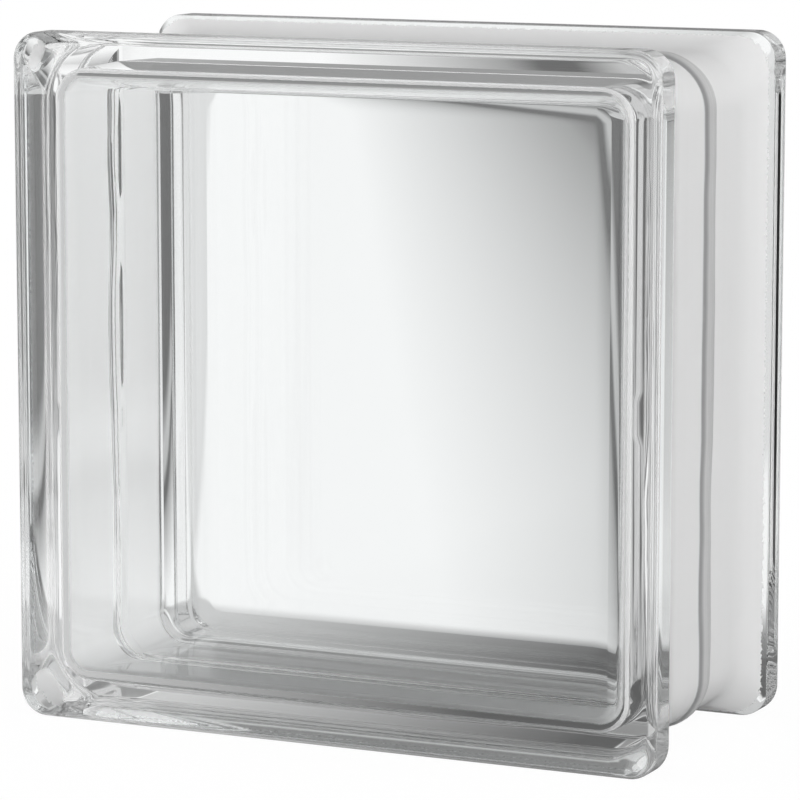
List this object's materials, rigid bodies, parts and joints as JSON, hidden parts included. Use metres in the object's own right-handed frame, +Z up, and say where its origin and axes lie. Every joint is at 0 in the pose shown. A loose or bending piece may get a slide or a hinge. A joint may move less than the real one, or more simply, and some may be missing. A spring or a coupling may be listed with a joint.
{
  "type": "glass block",
  "caption": "Square hollow block of clear fused glass with plain panes, a rim round each face and a coated mortar channel round the edge, for glass walls and screens.",
  "frame": {"origin": "middle of the block's footprint on the floor", "axes": "+Z up, front face towards -Y, depth along Y, width along X"},
  "size_m": [0.197, 0.098, 0.197],
  "materials": {
    "glass": "clear pressed glass, with a milky matt coating in the mortar channel"
  },
  "bodies": {
    "root": {"glass_block": "glass"}
  },
  "joints": []
}
